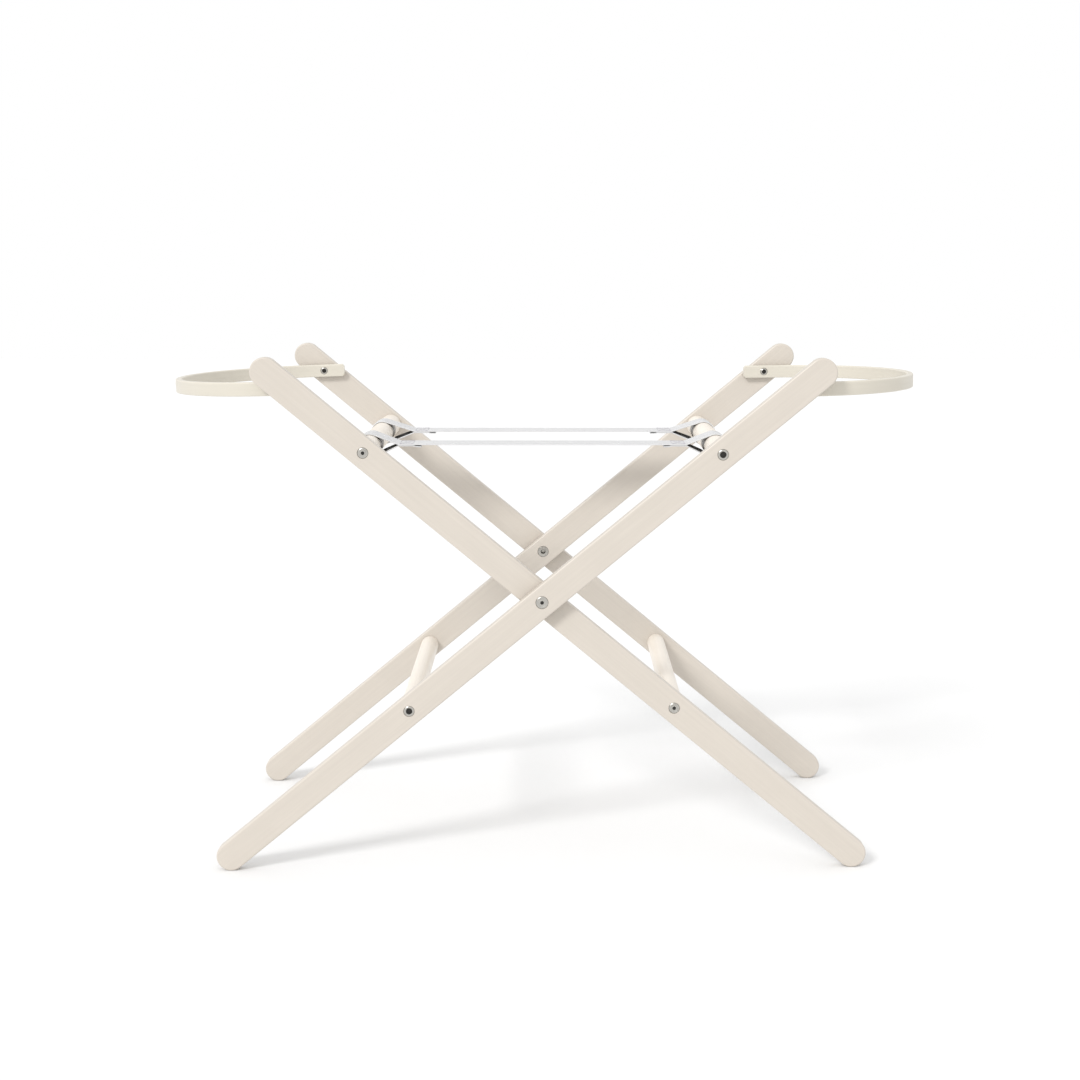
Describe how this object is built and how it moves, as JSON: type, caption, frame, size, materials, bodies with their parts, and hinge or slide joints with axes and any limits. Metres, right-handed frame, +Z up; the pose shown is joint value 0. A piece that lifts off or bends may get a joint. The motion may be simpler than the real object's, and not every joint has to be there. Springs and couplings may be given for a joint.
{
  "type": "bassinet stand",
  "caption": "Folding cross-leg wooden stand for a moses basket, with webbing straps to carry the basket and hinged bentwood hoops around its ends.",
  "frame": {"origin": "on the floor, at the middle of the stand's length and depth", "axes": "+Z up, +X along the stand from the left hoop to the right hoop, +Y from the front to the back"},
  "size_m": [0.9424, 0.4366, 0.6243],
  "materials": {
    "leg_wood": "warm off-white paint on wood, satin, faint grain",
    "bar_wood": "cream paint on turned wood, satin",
    "hoop_wood": "cream-white paint on bent wood, satin",
    "strap_webbing": "white woven cotton webbing, sewn",
    "bolt_steel": "nickel-plated steel, slightly brushed",
    "insert_brass": "turned brass",
    "washer_nylon": "natural nylon"
  },
  "bodies": {
    "left_frame": {"left_frame_front_leg": "leg_wood", "left_frame_rear_leg": "leg_wood", "left_frame_upper_bar": "bar_wood", "left_frame_upper_bar_front_bolt": "bolt_steel", "left_frame_upper_bar_front_insert": "insert_brass", "left_frame_upper_bar_rear_bolt": "bolt_steel", "left_frame_upper_bar_rear_insert": "insert_brass", "left_frame_lower_bar": "bar_wood", "left_frame_lower_bar_front_bolt": "bolt_steel", "left_frame_lower_bar_front_insert": "insert_brass", "left_frame_lower_bar_rear_bolt": "bolt_steel", "left_frame_lower_bar_rear_insert": "insert_brass", "left_hoop_front_screw": "bolt_steel", "left_hoop_front_insert": "insert_brass", "left_hoop_front_washer": "washer_nylon", "left_hoop_rear_screw": "bolt_steel", "left_hoop_rear_insert": "insert_brass", "left_hoop_rear_washer": "washer_nylon", "front_pivot_bolt": "bolt_steel", "front_pivot_sleeve_nut": "bolt_steel", "front_pivot_washer": "washer_nylon", "front_strap": "strap_webbing", "rear_pivot_bolt": "bolt_steel", "rear_pivot_sleeve_nut": "bolt_steel", "rear_pivot_washer": "washer_nylon", "rear_strap": "strap_webbing"},
    "right_frame": {"right_frame_front_leg": "leg_wood", "right_frame_rear_leg": "leg_wood", "right_frame_upper_bar": "bar_wood", "right_frame_upper_bar_front_bolt": "bolt_steel", "right_frame_upper_bar_front_insert": "insert_brass", "right_frame_upper_bar_rear_bolt": "bolt_steel", "right_frame_upper_bar_rear_insert": "insert_brass", "right_frame_lower_bar": "bar_wood", "right_frame_lower_bar_front_bolt": "bolt_steel", "right_frame_lower_bar_front_insert": "insert_brass", "right_frame_lower_bar_rear_bolt": "bolt_steel", "right_frame_lower_bar_rear_insert": "insert_brass", "right_hoop_front_screw": "bolt_steel", "right_hoop_front_insert": "insert_brass", "right_hoop_front_washer": "washer_nylon", "right_hoop_rear_screw": "bolt_steel", "right_hoop_rear_insert": "insert_brass", "right_hoop_rear_washer": "washer_nylon"},
    "left_hoop": {"left_hoop": "hoop_wood"},
    "right_hoop": {"right_hoop": "hoop_wood"}
  },
  "joints": [
    {"name": "fold", "type": "hinge", "parent": "left_frame", "child": "right_frame", "pos_m": [0, 0, 0.33299], "axis": [0, -1, 0], "range_deg": [0, 91], "deforming": ["front_strap", "rear_strap"]},
    {"name": "left_hoop_swing", "type": "hinge", "parent": "left_frame", "child": "left_hoop", "pos_m": [-0.30507, 0, 0.58626], "axis": [0, -1, 0], "range_deg": [-38, 120]},
    {"name": "right_hoop_swing", "type": "hinge", "parent": "right_frame", "child": "right_hoop", "pos_m": [0.30507, 0, 0.58626], "axis": [0, 1, 0], "range_deg": [-38, 120]}
  ]
}
